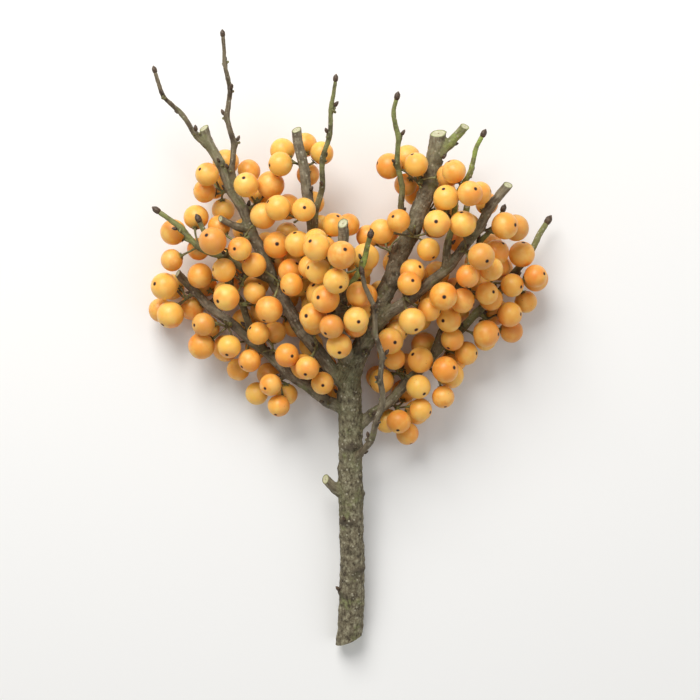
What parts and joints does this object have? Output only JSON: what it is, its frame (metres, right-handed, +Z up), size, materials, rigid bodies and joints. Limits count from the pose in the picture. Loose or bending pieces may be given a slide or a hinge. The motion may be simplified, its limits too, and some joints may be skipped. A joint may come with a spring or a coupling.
{
  "type": "holly sprig",
  "caption": "Leafless winterberry holly sprig: a cut, forked woody branch with slim side shoots, crowded with round orange berries on short stalks, lying flat.",
  "frame": {"origin": "middle of the sprig's box, on the surface that it lies on", "axes": "+Y from the cut butt along the branch to the tips, +Z up, +X to the right with the butt nearest"},
  "size_m": [0.1349, 0.2048, 0.0553],
  "materials": {
    "bark": "rough grey-brown bark",
    "berry": "satin, smooth fruit skin"
  },
  "bodies": {
    "root": {"woody_branch": "bark", "berries_high_left_arm_1": "berry", "berries_high_left_arm_2": "berry", "berries_high_left_arm_3": "berry", "berries_high_left_arm_4": "berry", "berries_high_left_arm_5": "berry", "berries_high_left_arm_6": "berry", "berries_high_left_arm_7": "berry", "berries_high_left_arm_8": "berry", "berries_high_right_arm_1": "berry", "berries_high_right_arm_2": "berry", "berries_high_right_arm_4": "berry", "berries_high_right_arm_5": "berry", "berries_high_right_twig_2": "berry", "berries_high_right_twig_3": "berry", "berries_inner_arm_1": "berry", "berries_inner_arm_2": "berry", "berries_inner_arm_3": "berry", "berries_inner_arm_4": "berry", "berries_inner_arm_5": "berry", "berries_inner_arm_7": "berry", "berries_leader_1": "berry", "berries_leader_2": "berry", "berries_leader_3": "berry", "berries_leader_4": "berry", "berries_leader_5": "berry", "berries_leader_6": "berry", "berries_leader_7": "berry", "berries_left_twig_1": "berry", "berries_left_twig_2": "berry", "berries_left_twig_3": "berry", "berries_low_left_arm_1": "berry", "berries_low_left_arm_2": "berry", "berries_low_left_arm_3": "berry", "berries_low_left_arm_4": "berry", "berries_low_left_arm_5": "berry", "berries_low_left_arm_6": "berry", "berries_low_left_arm_7": "berry", "berries_low_left_twig_2": "berry", "berries_low_left_twig_3": "berry", "berries_low_right_arm_1": "berry", "berries_low_right_arm_2": "berry", "berries_low_right_arm_3": "berry", "berries_low_right_arm_4": "berry", "berries_low_right_arm_5": "berry", "berries_low_right_arm_6": "berry", "berries_low_right_arm_7": "berry", "berries_low_right_arm_8": "berry", "berries_middle_arm_1": "berry", "berries_middle_arm_2": "berry", "berries_middle_arm_3": "berry", "berries_middle_arm_4": "berry", "berries_right_twig_2": "berry", "berries_right_twig_3": "berry", "berries_right_twig_4": "berry"}
  },
  "joints": []
}
